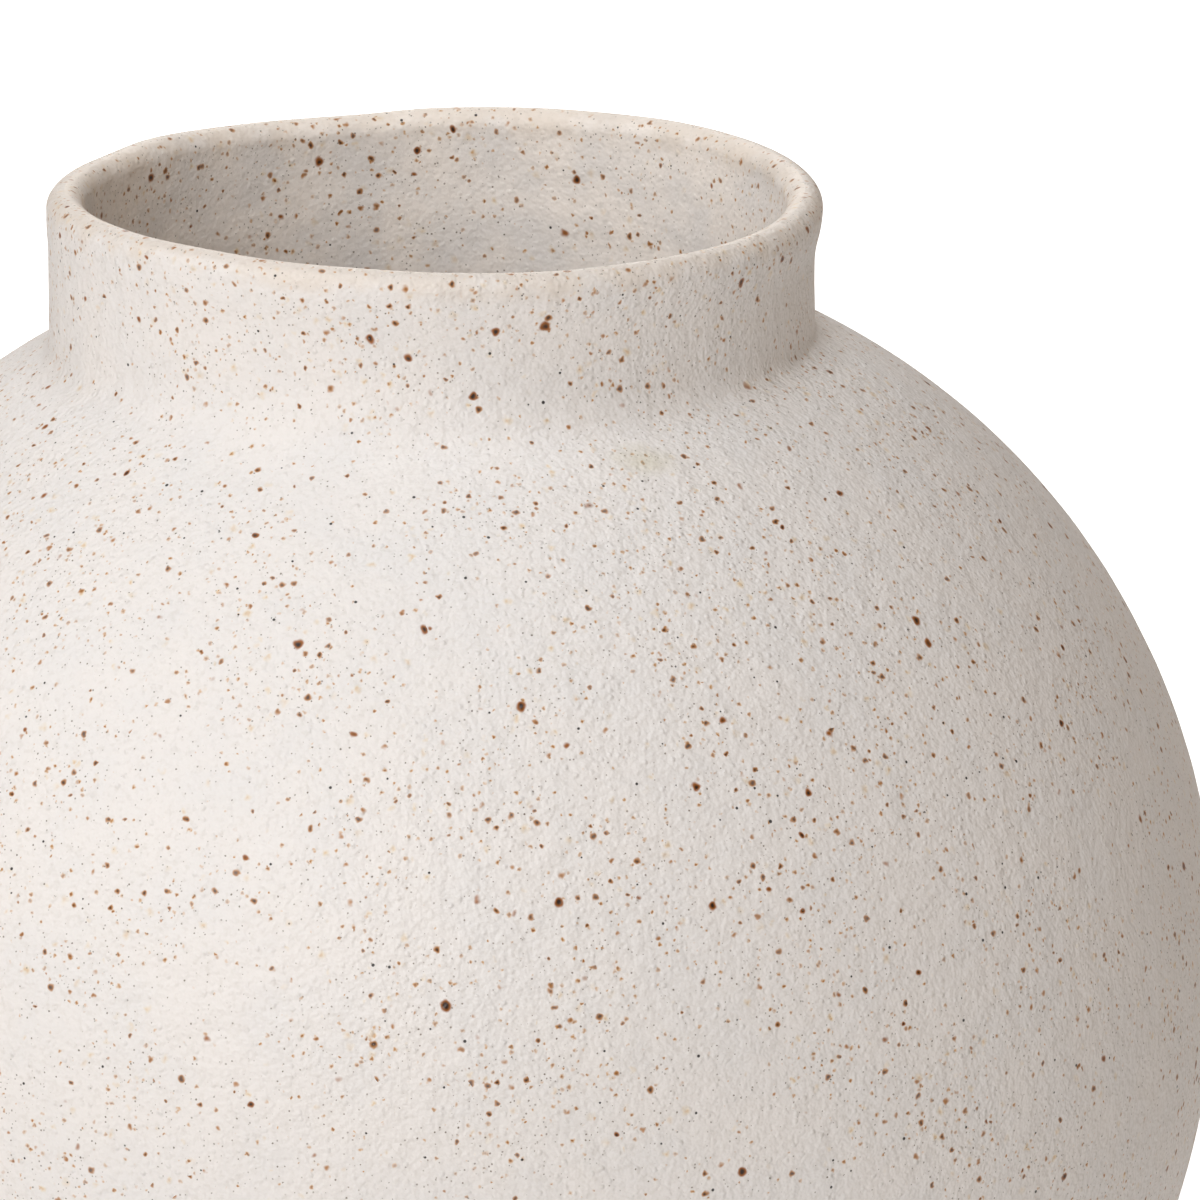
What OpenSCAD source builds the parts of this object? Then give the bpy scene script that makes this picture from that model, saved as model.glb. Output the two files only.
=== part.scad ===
// Round stoneware vase with a short thrown collar.
// Two thrown bowls are joined rim to rim at the belly, a collar and a foot ring are luted on,
// a coil is worked into the corner under the collar, and the whole is glazed inside and out.
// Lengths are in millimetres. +Z is up, and the origin is the centre of the base on the table.

/* [Globe] */
// Widest diameter, over the glaze
belly_d = 200; // [190:1:215]
// Height of the widest point above the table
belly_z = 100; // [98:0.5:102]
// Radius of the curve from the belly up to the collar
shoulder_arc = 92; // [90:0.5:95]
// Radius of the curve from the belly down to the foot
lower_arc = 110; // [107:1:114]
// Thickness of the thrown wall, bare of glaze
wall = 5.5; // [4.5:0.5:6.5]
// Thickness of the floor, bare of glaze
floor_t = 8; // [6:0.5:10]
// Radius of the turn from the floor to the wall, inside
floor_turn = 14; // [8:1:18]
// Height of the lap that joins the two bowls
lap_h = 5; // [3:0.5:7]

/* [Collar] */
// Overall height, to the top of the lip
rim_z = 202; // [198:1:206]
// Outer diameter of the collar, over the glaze
collar_d = 99; // [90:1:104]
// Thickness of the collar, over both glazes
collar_t = 4.5; // [4:0.1:5.5]
// Thickness of the rounded lip, over both glazes
lip_t = 4.7; // [4.2:0.1:5.5]
// How far the lip swells past the outside of the collar
lip_flare = 0.6; // [0:0.1:1.2]
// Height over which the collar turns out to the lip
flare_h = 7.5; // [5:0.5:9]
// Depth of the rebate that the collar stands in
seat_h = 2.5; // [1.5:0.5:3]
// Radius of the hollow turn from the collar to the shoulder
shoulder_turn = 5; // [3:0.5:8]
// Radius of the rounded edge under the collar, inside
throat_turn = 3.5; // [2:0.5:5]

/* [Foot] */
// Outer diameter of the foot ring where it meets the bowl
foot_d = 96; // [90:1:104]
// Width of the foot ring
foot_w = 12; // [11:0.5:14]
// How far the ring's sides lean in towards its standing face
foot_lean = 0.8; // [0:0.1:1.2]
// Radius of the ring's rounded lower edges
foot_edge = 0.9; // [0.5:0.1:1]
// Height of the ring's tenon, in its groove under the bowl
tenon_h = 2; // [1:0.5:3]
// Width of that tenon
tenon_w = 4; // [3:0.5:5]

/* [Glaze] */
// Thickness of the fired glaze
glaze = 0.5; // [0.3:0.1:0.7]
// Height above the table where the outer glaze stops
glaze_line = 10; // [9:0.5:14]

/* [Pads] */
// Number of felt pads under the foot ring
pads = 4; // [3:1:6]
// Diameter of a pad
pad_d = 8; // [6:0.5:8]
// Thickness of a pad
pad_t = 1.6; // [1:0.2:2]

/* [Hidden] */
$fn = 120;

CLAY = "tan";
GLAZE = "linen";
FELT = "dimgray";

// Longest straight step along a curve of a profile.
STEP = 2.5;
// Larger than any section, for the shapes that cut one.
FAR = 300;

// Sections are drawn in X and Y, and turned about Y: X is the distance from the axis and Y the height.
belly_r = belly_d / 2;
collar_r = collar_d / 2;
foot_r = foot_d / 2;
wall_all = wall + 2 * glaze;
lip_r = lip_t / 2;

// Centres of the arcs. An inset keeps each centre and changes only the radius.
upper_c = [belly_r - shoulder_arc, belly_z];
lower_c = [belly_r - lower_arc, belly_z];
lip_c = [collar_r + lip_flare - lip_r, rim_z - lip_r];
turn_c = beyond(upper_c, shoulder_arc + shoulder_turn, collar_r + shoulder_turn);
bore_r = collar_r - collar_t;
throat_c = beyond(upper_c, shoulder_arc - wall_all + throat_turn, bore_r + throat_turn);

// Where the bowl's curve meets the foot ring.
foot_angle = -acos((foot_r - lower_c.x) / (lower_arc - glaze));
foot_z = lower_c.y + (lower_arc - glaze) * sin(foot_angle);
floor_z = foot_z + floor_t + glaze;
floor_turn_z = floor_z + floor_turn;
floor_turn_c = [
    lower_c.x + sqrt((lower_arc - wall_all - floor_turn) ^ 2 - (belly_z - floor_turn_z) ^ 2),
    floor_turn_z
];

// Where the collar's side and the shoulder's curve would cross with no coil between them.
corner = beyond(upper_c, shoulder_arc - glaze, collar_r - glaze);
seat_z = corner.y - seat_h;

// The round coil bedded in that corner. It stands out from the corner towards the hollow turn's centre,
// and reaches just past the turn's upper end.
coil_stand = 0.4;
coil_lap = 0.3;
coil_c = corner + coil_stand * (turn_c - corner);
coil_r = norm([collar_r - glaze, turn_c.y] - coil_c) + coil_lap;

lap_r = belly_r - glaze - wall / 2;
foot_in_r = foot_r - foot_w;
foot_mid_r = foot_r - foot_w / 2;

// The point above centre c that is r away from it and x from the axis.
function beyond(c, r, x) = [x, c.y + sqrt(r ^ 2 - (x - c.x) ^ 2)];

// The direction of p from c, in degrees.
function heading(c, p) = atan2(p.y - c.y, p.x - c.x);

// Points on an arc, in steps that depend only on its angle and nominal radius.
function arc(c, r, from, to, nominal) =
    let (steps = max(3, ceil(abs(to - from) * PI / 180 * nominal / STEP)))
    [for (i = [0 : steps]) let (a = from + (to - from) * i / steps) c + r * [cos(a), sin(a)]];

// A smooth swell from 0 to 1.
function swell(t) = t * t * (3 - 2 * t);

// Points up the collar's side, from radius r to r + out at the height of the lip's centre.
function flare(r, out, steps = 6) =
    [for (i = [0 : steps]) [r + out * swell(i / steps), lip_c.y - flare_h * (1 - i / steps)]];

function reversed(points) = [for (i = [len(points) - 1 : -1 : 0]) points[i]];

// The outside from the foot to the lip's crest, drawn in by inset.
function outside(inset) = concat(
    arc(lower_c, lower_arc - inset, foot_angle, 0, lower_arc),
    arc(upper_c, shoulder_arc - inset, 0, heading(upper_c, turn_c), shoulder_arc),
    arc(turn_c, shoulder_turn + inset, heading(upper_c, turn_c) + 180, 180, 2 * shoulder_turn),
    flare(collar_r - inset, lip_flare),
    arc(lip_c, lip_r - inset, 0, 90, 2 * lip_r)
);

// The inside from the lip's crest to the middle of the floor, sunk into the wall by depth.
function inside(depth) = concat(
    arc(lip_c, lip_r - depth, 90, 180, 2 * lip_r),
    reversed(flare(bore_r + depth, lip_c.x - lip_r - bore_r)),
    arc(throat_c, throat_turn - depth, 180, heading(upper_c, throat_c) + 180, 2 * throat_turn),
    arc(upper_c, shoulder_arc - wall_all + depth, heading(upper_c, throat_c), 0, shoulder_arc),
    arc(lower_c, lower_arc - wall_all + depth, 0, heading(lower_c, floor_turn_c), lower_arc),
    arc(floor_turn_c, floor_turn + depth, heading(lower_c, floor_turn_c), -90, 2 * floor_turn),
    [[0, floor_z - depth]]
);

// The clay of both bowls, the collar and the coil as one section.
module clay_section() {
    polygon(concat([[0, foot_z]], outside(glaze), inside(glaze)));
}

// Everything above the stepped lap at the belly.
module above_lap() {
    polygon([
        [0, belly_z + lap_h], [lap_r, belly_z + lap_h], [lap_r, belly_z],
        [FAR, belly_z], [FAR, FAR], [0, FAR]
    ]);
}

// Everything above the rebate, as far out as the collar's side.
module collar_zone() {
    translate([0, seat_z])
        square([collar_r + lip_flare, FAR]);
}

// Everything past the collar's side, up to where the flare begins.
module outside_collar_foot() {
    translate([collar_r - glaze, 0])
        square([FAR, lip_c.y - flare_h]);
}

// The coil's round section, with the bed that it takes out of the collar and the bowl.
module coil_zone() {
    translate(coil_c)
        circle(r = coil_r);
}

// The foot ring's tenon, reaching up into its groove under the bowl.
module tenon_section() {
    translate([foot_mid_r - tenon_w / 2, foot_z - 1])
        square([tenon_w, tenon_h + 1]);
}

module lower_bowl() {
    color(CLAY)
        rotate_extrude()
            difference() {
                clay_section();
                above_lap();
                tenon_section();
            }
}

module upper_bowl() {
    color(CLAY)
        rotate_extrude()
            difference() {
                intersection() {
                    clay_section();
                    above_lap();
                }
                difference() {
                    collar_zone();
                    outside_collar_foot();
                }
                coil_zone();
            }
}

module neck_collar() {
    color(CLAY)
        rotate_extrude()
            difference() {
                intersection() {
                    clay_section();
                    collar_zone();
                }
                outside_collar_foot();
                coil_zone();
            }
}

module neck_coil() {
    color(CLAY)
        rotate_extrude()
            intersection() {
                clay_section();
                coil_zone();
            }
}

module foot_ring() {
    standing = [foot_in_r + foot_lean + foot_edge, foot_r - foot_lean - foot_edge];
    color(CLAY)
        rotate_extrude()
            union() {
                polygon(concat(
                    [[foot_in_r, foot_z]],
                    arc([standing[0], pad_t + foot_edge], foot_edge, 180, 270, 2 * foot_edge),
                    arc([standing[1], pad_t + foot_edge], foot_edge, 270, 360, 2 * foot_edge),
                    [[foot_r, foot_z]]
                ));
                tenon_section();
            }
}

module outer_glaze() {
    color(GLAZE)
        rotate_extrude()
            intersection() {
                polygon(concat(outside(0), reversed(outside(glaze))));
                translate([0, glaze_line])
                    square(FAR);
            }
}

module liner_glaze() {
    color(GLAZE)
        rotate_extrude()
            polygon(concat(inside(0), reversed(inside(glaze))));
}

module felt_pad(i) {
    color(FELT)
        rotate(360 / pads * (i - 0.5))
            translate([foot_mid_r, 0, 0])
                cylinder(d = pad_d, h = pad_t);
}

lower_bowl();
upper_bowl();
neck_collar();
neck_coil();
foot_ring();
outer_glaze();
liner_glaze();
for (i = [1 : pads]) {
    felt_pad(i);
}
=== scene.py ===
"""The looks of a round stoneware vase with a short collar, made around its CAD frame.

Each piece is thrown as a potter would throw it: a section is drawn with a pen, turned on the wheel, and then
given what the hand leaves. Lengths are in metres, as the frame has them, and heights are above the table.
"""

from __future__ import annotations

import logging
import math
from collections.abc import Callable, Iterable
from dataclasses import dataclass, field
from enum import Enum

import bmesh
import bpy
from mathutils import Matrix, Vector, noise


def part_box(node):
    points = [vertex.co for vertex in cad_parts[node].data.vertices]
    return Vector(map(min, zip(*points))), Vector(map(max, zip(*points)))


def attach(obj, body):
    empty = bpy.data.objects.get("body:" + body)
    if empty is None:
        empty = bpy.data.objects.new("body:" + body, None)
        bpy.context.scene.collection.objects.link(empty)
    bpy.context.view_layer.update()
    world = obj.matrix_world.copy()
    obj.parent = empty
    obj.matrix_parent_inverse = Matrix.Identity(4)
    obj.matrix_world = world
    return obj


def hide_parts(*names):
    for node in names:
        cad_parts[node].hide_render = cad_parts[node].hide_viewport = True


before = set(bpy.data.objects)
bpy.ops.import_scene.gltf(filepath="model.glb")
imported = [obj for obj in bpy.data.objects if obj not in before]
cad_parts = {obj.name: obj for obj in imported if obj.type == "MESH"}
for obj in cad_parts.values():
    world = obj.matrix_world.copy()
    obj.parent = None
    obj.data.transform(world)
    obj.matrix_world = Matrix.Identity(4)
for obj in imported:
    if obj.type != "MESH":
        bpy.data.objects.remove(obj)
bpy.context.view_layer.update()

LOG = logging.getLogger("vase")
MM = 0.001
ROOT = "root"

Mesh = bmesh.types.BMesh
Material = bpy.types.Material
Object = bpy.types.Object
Socket = bpy.types.NodeSocket
Rgba = tuple[float, float, float, float]
Value = Socket | float | int
Colour = Socket | Rgba


class Slot(Enum):
    """The record's material slots."""

    OUTER_GLAZE = "outer_glaze"
    LINER_GLAZE = "liner_glaze"
    CLAY = "clay"
    FELT = "felt"


class Texture(Enum):
    """How far apart the points of a section are, from a surface that is seen to one that is not."""

    CREST = 0.2 * MM
    CREASE = 0.42 * MM
    COLLAR = 0.8 * MM
    BODY = 1.55 * MM
    HIDDEN = 6 * MM


def srgb(red: int, green: int, blue: int) -> Rgba:
    """Turns a screen colour into the linear colour that a shader takes.

    Args:
        red: Red, 0 to 255.
        green: Green, 0 to 255.
        blue: Blue, 0 to 255.

    Returns:
        The linear colour, with an alpha of 1.
    """
    shares = [channel / 255 for channel in (red, green, blue)]
    linear = [s / 12.92 if s <= 0.04045 else ((s + 0.055) / 1.055) ** 2.4 for s in shares]
    return (*linear, 1.0)


def ease(value: float, low: float, high: float) -> float:
    """Rises smoothly from 0 at low to 1 at high, or falls if low is the greater.

    Args:
        value: Where to look.
        low: Where the rise starts.
        high: Where it ends.

    Returns:
        The height of the rise, 0 to 1.
    """
    share = min(1.0, max(0.0, (value - low) / (high - low)))
    return share * share * (3 - 2 * share)


def widen(vert: bmesh.types.BMVert, growth: float) -> None:
    """Moves a point straight out from the axis."""
    share = 1 + growth / math.hypot(vert.co.x, vert.co.y)
    vert.co.x *= share
    vert.co.y *= share


# --------------------------------------------------------------------------------------------------
# The section
# --------------------------------------------------------------------------------------------------


def above(centre: Vector, radius: float, out: float) -> Vector:
    """The point of a circle's upper half that is a given way out from the vase's axis.

    Args:
        centre: The circle's centre, as (radius, height).
        radius: The circle's radius.
        out: The point's distance from the axis.

    Returns:
        The point, as (radius, height).
    """
    return Vector((out, centre.y + math.sqrt(radius**2 - (out - centre.x) ** 2)))


def heading(centre: Vector, point: Vector) -> float:
    """The direction of a point from a centre, in radians, counterclockwise from straight out."""
    return math.atan2(point.y - centre.y, point.x - centre.x)


def around(centre: Vector, radius: float, angle: float) -> Vector:
    """The point of a circle at an angle, in radians, counterclockwise from straight out."""
    return centre + radius * Vector((math.cos(angle), math.sin(angle)))


def meeting(first: Vector, first_radius: float, second: Vector, second_radius: float) -> Vector:
    """Where two circles cross, to the right of the way from the first centre to the second.

    Args:
        first: The first circle's centre.
        first_radius: The first circle's radius.
        second: The second circle's centre.
        second_radius: The second circle's radius.

    Returns:
        The crossing point.
    """
    apart = (second - first).length
    along = (second - first) / apart
    reach = (apart**2 + first_radius**2 - second_radius**2) / (2 * apart)
    return first + along * reach + Vector((along.y, -along.x)) * math.sqrt(first_radius**2 - reach**2)


@dataclass(frozen=True)
class Stroke:
    """A straight or round stretch of a section, in the plane of radius and height."""

    start: Vector
    end: Vector
    centre: Vector | None = None
    texture: Texture = Texture.BODY

    def backwards(self) -> Stroke:
        """The same stretch, drawn the other way."""
        return Stroke(self.end, self.start, self.centre, self.texture)


def chain(start: Vector, *steps: tuple[Vector | None, Vector, Texture]) -> list[Stroke]:
    """Joins steps end to end.

    Args:
        start: Where the first step starts.
        steps: For each step its centre, or None where it is straight, its end, and how fine it is.

    Returns:
        The strokes, in order.
    """
    strokes = []
    for centre, end, texture in steps:
        strokes.append(Stroke(start, end, centre, texture))
        start = end
    return strokes


def straight(texture: Texture, *ends: tuple[float, float]) -> list[tuple[None, Vector, Texture]]:
    """Straight steps for chain, each to the next of some ends, as (radius, height)."""
    return [(None, Vector(end), texture) for end in ends]


def backwards(strokes: Iterable[Stroke], texture: Texture | None = None) -> list[Stroke]:
    """Turns a run of strokes round.

    Args:
        strokes: The run.
        texture: How fine the turned run is, or None to leave it.

    Returns:
        The run, from its end to its start.
    """
    turned = [stroke.backwards() for stroke in reversed(list(strokes))]
    return [Stroke(s.start, s.end, s.centre, texture or s.texture) for s in turned]


class SectionPen:
    """Draws a section in the plane of radius and height, and turns it into a solid."""

    def __init__(self, strokes: list[Stroke]) -> None:
        """Draws the strokes, each from where the last one ended.

        Args:
            strokes: The section, as a closed loop or as a line whose two ends are on the axis.
        """
        self.mesh = bmesh.new()
        self.tip = self.mesh.verts.new((strokes[0].start.x, 0.0, strokes[0].start.y))
        for stroke in strokes:
            if stroke.centre is None:
                self._straight(stroke)
            else:
                self._round(stroke)

    def _straight(self, stroke: Stroke) -> None:
        """Extrudes the tip along a straight stroke."""
        steps = max(1, math.ceil((stroke.end - stroke.start).length / stroke.texture.value))
        for step in range(1, steps + 1):
            made = bmesh.ops.extrude_vert_indiv(self.mesh, verts=[self.tip])
            self.tip = made["verts"][0]
            place = stroke.start.lerp(stroke.end, step / steps)
            self.tip.co = (place.x, 0.0, place.y)

    def _round(self, stroke: Stroke) -> None:
        """Spins the tip about a round stroke's centre, the shorter way."""
        centre = stroke.centre
        sweep = heading(centre, stroke.end) - heading(centre, stroke.start)
        sweep = (sweep + math.pi) % math.tau - math.pi
        length = abs(sweep) * (stroke.start - centre).length
        made = bmesh.ops.spin(
            self.mesh,
            geom=[self.tip],
            cent=(centre.x, 0.0, centre.y),
            axis=(0.0, -1.0, 0.0),
            angle=sweep,
            steps=max(2, math.ceil(length / stroke.texture.value)),
        )
        self.tip = next(part for part in made["geom_last"] if isinstance(part, bmesh.types.BMVert))

    def turned(self, segments: int) -> Mesh:
        """Turns the section once about the axis, an eighth at a time.

        Args:
            segments: How many flats the turn has, in eights.

        Returns:
            The closed solid, with its faces outward.
        """
        merge, share = 0.001 * MM, math.tau / 8
        up = (0.0, 0.0, 1.0)
        bmesh.ops.remove_doubles(self.mesh, verts=self.mesh.verts, dist=merge)
        section = [*self.mesh.verts, *self.mesh.edges]
        bmesh.ops.spin(self.mesh, geom=section, axis=up, angle=share, steps=segments // 8)
        bmesh.ops.remove_doubles(self.mesh, verts=self.mesh.verts, dist=merge)
        eighth = [*self.mesh.verts, *self.mesh.edges, *self.mesh.faces]
        bmesh.ops.spin(self.mesh, geom=eighth, axis=up, angle=7 * share, steps=7, use_duplicate=True)
        bmesh.ops.remove_doubles(self.mesh, verts=self.mesh.verts, dist=merge)
        bmesh.ops.recalc_face_normals(self.mesh, faces=self.mesh.faces)
        return self.mesh


@dataclass(frozen=True)
class PotForm:
    """The section that every clay and glaze piece is cut from.

    The first fields are read from the frame, and the rest are the design's own sizes. An inset is a depth
    under the outside and a depth is one under the inside. Both keep an arc's centre and change its radius.
    """

    belly_radius: float
    belly_height: float
    rim_height: float
    lip_outside: float
    glaze: float
    glaze_line: float
    foot_radius: float
    foot_height: float
    pad_height: float
    lap_height: float
    floor_height: float
    shoulder_arc: float = 92 * MM
    lower_arc: float = 110 * MM
    wall: float = 6.5 * MM
    collar_radius: float = 49.5 * MM
    collar_wall: float = 4.5 * MM
    lip_radius: float = 2.35 * MM
    flare_height: float = 7.5 * MM
    shoulder_turn: float = 5 * MM
    throat_turn: float = 3.5 * MM
    floor_turn: float = 14 * MM
    seat_depth: float = 2.5 * MM
    coil_stand: float = 0.4
    coil_lap: float = 0.3 * MM
    foot_width: float = 12 * MM
    foot_lean: float = 0.8 * MM
    foot_edge: float = 0.9 * MM
    tenon_height: float = 2 * MM
    tenon_width: float = 4 * MM

    @classmethod
    def from_frame(cls) -> PotForm:
        """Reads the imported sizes."""
        coat_low, coat_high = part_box("outer_glaze")
        upper_low, upper_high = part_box("upper_bowl")
        glaze = coat_high.x - upper_high.x
        return cls(
            belly_radius=coat_high.x,
            belly_height=upper_low.z,
            rim_height=coat_high.z,
            lip_outside=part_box("neck_collar")[1].x + glaze,
            glaze=glaze,
            glaze_line=coat_low.z,
            foot_radius=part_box("foot_ring")[1].x,
            foot_height=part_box("lower_bowl")[0].z,
            pad_height=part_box("foot_ring")[0].z,
            lap_height=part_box("lower_bowl")[1].z,
            floor_height=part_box("liner_glaze")[0].z + glaze,
        )

    @property
    def upper_centre(self) -> Vector:
        """Centre of the arc from the belly to the collar."""
        return Vector((self.belly_radius - self.shoulder_arc, self.belly_height))

    @property
    def lower_centre(self) -> Vector:
        """Centre of the arc from the foot to the belly."""
        return Vector((self.belly_radius - self.lower_arc, self.belly_height))

    @property
    def lip_centre(self) -> Vector:
        """Centre of the lip's round."""
        return Vector((self.lip_outside - self.lip_radius, self.rim_height - self.lip_radius))

    @property
    def turn_centre(self) -> Vector:
        """Centre of the hollow turn from the shoulder to the collar."""
        return above(
            self.upper_centre,
            self.shoulder_arc + self.shoulder_turn,
            self.collar_radius + self.shoulder_turn,
        )

    @property
    def bore_radius(self) -> float:
        """Radius of the collar's straight inside."""
        return self.collar_radius - self.collar_wall

    @property
    def bare_inside(self) -> float:
        """Radius of the shoulder's inside, bare of glaze."""
        return self.shoulder_arc - self.wall + self.glaze

    @property
    def throat_centre(self) -> Vector:
        """Centre of the round turn from the collar's inside to the shoulder's."""
        return above(
            self.upper_centre,
            self.shoulder_arc - self.wall + self.throat_turn,
            self.bore_radius + self.throat_turn,
        )

    @property
    def floor_turn_centre(self) -> Vector:
        """Centre of the turn from the wall's inside to the floor."""
        height = self.floor_height + self.floor_turn
        reach = self.lower_arc - self.wall - self.floor_turn
        out = math.sqrt(reach**2 - (self.belly_height - height) ** 2)
        return Vector((self.lower_centre.x + out, height))

    @property
    def corner(self) -> Vector:
        """Where the bare collar and the bare shoulder would cross with no coil between them."""
        return above(self.upper_centre, self.shoulder_arc - self.glaze, self.collar_radius - self.glaze)

    @property
    def coil_centre(self) -> Vector:
        """Centre of the coil bedded in the corner."""
        return self.corner.lerp(self.turn_centre, self.coil_stand)

    @property
    def coil_radius(self) -> float:
        """Radius of that coil, which reaches just past the turn's upper end."""
        end = Vector((self.collar_radius - self.glaze, self.turn_centre.y))
        return (end - self.coil_centre).length + self.coil_lap

    def lower_point(self, height: float, inset: float) -> Vector:
        """The point of the lower outside at a height."""
        centre, radius = self.lower_centre, self.lower_arc - inset
        return Vector((centre.x + math.sqrt(radius**2 - (height - centre.y) ** 2), height))

    def swell(self, foot: float, top: float, shift: float, texture: Texture) -> list[Stroke]:
        """The collar's turn out to the lip, as two arcs that meet in the middle.

        Args:
            foot: Radius at the bottom of the turn.
            top: Radius at its top, level with the lip's centre.
            shift: How far the whole turn is moved out, square to itself.
            texture: How fine it is.

        Returns:
            The strokes, from the bottom up.
        """
        high = self.lip_centre.y
        low, middle = high - self.flare_height, high - self.flare_height / 2
        out = top - foot
        bend = (self.flare_height**2 + out**2) / (4 * out)
        lower, upper = Vector((foot + bend, low)), Vector((top - bend, high))
        half = math.asin((middle - low) / bend)
        return chain(
            Vector((foot + shift, low)),
            (lower, around(lower, bend - shift, math.pi - half), texture),
            (upper, Vector((top + shift, high)), texture),
        )

    def outside(self, start: Vector, inset: float) -> list[Stroke]:
        """The outside from a point of the lower curve up to the lip's crest."""
        upper, turn, lip = self.upper_centre, self.turn_centre, self.lip_centre
        radius, wall = self.shoulder_arc - inset, self.collar_radius - inset
        near = above(upper, radius, self.collar_radius + 3 * self.shoulder_turn)
        swell = self.swell(self.collar_radius, self.lip_outside, -inset, Texture.COLLAR)
        return [
            *chain(
                start,
                (self.lower_centre, Vector((self.belly_radius - inset, self.belly_height)), Texture.BODY),
                (upper, near, Texture.BODY),
                (upper, around(upper, radius, heading(upper, turn)), Texture.COLLAR),
                (turn, Vector((wall, turn.y)), Texture.CREASE),
                (None, swell[0].start, Texture.COLLAR),
            ),
            *swell,
            Stroke(swell[-1].end, lip + Vector((0, self.lip_radius - inset)), lip, Texture.CREST),
        ]

    def inside(self, depth: float) -> list[Stroke]:
        """The inside from the lip's crest down to the middle of the floor."""
        upper, throat, lip, turn = (
            self.upper_centre,
            self.throat_centre,
            self.lip_centre,
            self.floor_turn_centre,
        )
        radius = self.shoulder_arc - self.wall + depth
        lip_inside = lip.x - self.lip_radius
        swell = backwards(self.swell(self.bore_radius, lip_inside, depth, Texture.COLLAR))
        belly = Vector((self.belly_radius - self.wall + depth, self.belly_height))
        floor = self.floor_height - depth
        floor_turn_end = around(turn, self.floor_turn + depth, heading(self.lower_centre, turn))
        return [
            Stroke(lip + Vector((0, self.lip_radius - depth)), swell[0].start, lip, Texture.CREST),
            *swell,
            *chain(
                swell[-1].end,
                (None, Vector((self.bore_radius + depth, throat.y)), Texture.COLLAR),
                (throat, around(upper, radius, heading(upper, throat)), Texture.COLLAR),
                (upper, belly, Texture.BODY),
                (self.lower_centre, floor_turn_end, Texture.BODY),
                (turn, Vector((turn.x, floor)), Texture.BODY),
                (None, Vector((0, floor)), Texture.BODY),
            ),
        ]


# --------------------------------------------------------------------------------------------------
# The potter's hand
# --------------------------------------------------------------------------------------------------


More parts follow.
